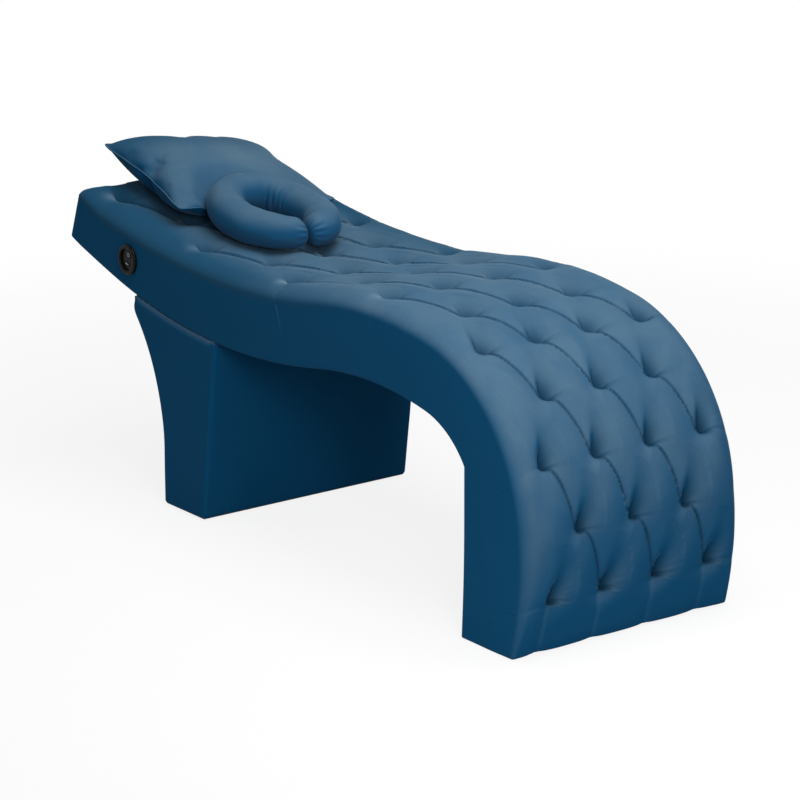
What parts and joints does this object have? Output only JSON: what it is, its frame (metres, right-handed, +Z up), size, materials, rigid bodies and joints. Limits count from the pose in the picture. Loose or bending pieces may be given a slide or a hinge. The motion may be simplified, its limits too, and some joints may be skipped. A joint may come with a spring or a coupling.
{
  "type": "eyelash extension bed",
  "caption": "S-curved, deep tufted velvet treatment bed: raised head end on a slab pedestal, bent down to its own foot, with loose head and neck pillows and a side control.",
  "frame": {"origin": "on the floor, under the middle of the bed", "axes": "+X along the bed towards the foot, +Y across it to the side without the control, +Z up"},
  "size_m": [1.9053, 0.659, 0.8811],
  "materials": {
    "blue_velvet": "short pile velvet, slate blue, over wadding or board",
    "foam": "open cell seat foam",
    "plywood": "raw plywood",
    "pine": "raw planed pine",
    "hardboard": "raw hardboard",
    "zinc_steel": "zinc plated",
    "glide_plastic": "black, smooth",
    "gloss_black": "polished black",
    "matte_black": "moulded black",
    "key_plastic": "polished dark grey",
    "circuit_board": "green solder mask",
    "lead_sheath": "black cable sheath"
  },
  "bodies": {
    "bed": {"tufted_cover": "blue_velvet", "side_cover_near": "blue_velvet", "side_cover_far": "blue_velvet", "head_cover": "blue_velvet", "belly_panel": "blue_velvet", "leg_inner_panel": "blue_velvet", "foam_slab": "foam", "rib_near": "plywood", "rib_far": "plywood", "deck_sheet": "plywood", "head_board": "pine", "foot_sill": "pine", "slat_1": "pine", "slat_2": "pine", "slat_3": "pine", "slat_4": "pine", "slat_5": "pine", "slat_6": "pine", "slat_7": "pine", "slat_8": "pine", "mount_rail_rear": "pine", "mount_rail_front": "pine", "pedestal_cover": "blue_velvet", "pedestal_cheek_near": "plywood", "pedestal_cheek_far": "plywood", "pedestal_inner_board": "plywood", "pedestal_outer_skin": "hardboard", "pedestal_floor_board": "plywood", "pedestal_top_board": "plywood", "pedestal_bolt_1": "zinc_steel", "pedestal_bolt_2": "zinc_steel", "pedestal_bolt_3": "zinc_steel", "pedestal_bolt_4": "zinc_steel", "pedestal_glide_1": "glide_plastic", "pedestal_glide_2": "glide_plastic", "pedestal_glide_3": "glide_plastic", "pedestal_glide_4": "glide_plastic", "foot_glide_1": "glide_plastic", "foot_glide_2": "glide_plastic", "foot_glide_3": "glide_plastic", "foot_glide_4": "glide_plastic", "control_bezel": "gloss_black", "control_face": "gloss_black", "control_can": "matte_black", "circuit_board": "circuit_board", "massage_motor_1": "zinc_steel", "massage_motor_2": "zinc_steel", "power_inlet": "matte_black", "supply_lead": "lead_sheath", "motor_lead_1": "lead_sheath", "motor_lead_2": "lead_sheath"},
    "power_key": {"power_key": "key_plastic"},
    "mode_key": {"mode_key": "key_plastic"},
    "eccentric_1": {"eccentric_weight_1": "zinc_steel"},
    "eccentric_2": {"eccentric_weight_2": "zinc_steel"},
    "head_pillow": {"head_pillow": "blue_velvet"},
    "neck_pillow": {"neck_pillow": "blue_velvet"}
  },
  "joints": [
    {"name": "power_key_press", "type": "slide", "parent": "bed", "child": "power_key", "axis": [0, 1, 0], "range_m": [0, 0.0018], "stiffness_N_per_m": 600, "springref_m": -0.001},
    {"name": "mode_key_press", "type": "slide", "parent": "bed", "child": "mode_key", "axis": [0, 1, 0], "range_m": [0, 0.0018], "stiffness_N_per_m": 600, "springref_m": -0.001},
    {"name": "motor_1_spin", "type": "hinge", "parent": "bed", "child": "eccentric_1", "pos_m": [-0.40058, 0, 0.57411], "axis": [0, 1, 0], "continuous": true},
    {"name": "motor_2_spin", "type": "hinge", "parent": "bed", "child": "eccentric_2", "pos_m": [0.18039, 0, 0.6016], "axis": [0, 1, 0], "continuous": true},
    {"name": "head_pillow_lift", "type": "slide", "parent": "bed", "child": "head_pillow", "axis": [0, 0, 1], "range_m": [0, 0.3]},
    {"name": "neck_pillow_lift", "type": "slide", "parent": "head_pillow", "child": "neck_pillow", "axis": [0, 0, 1], "range_m": [0, 0.3]}
  ]
}
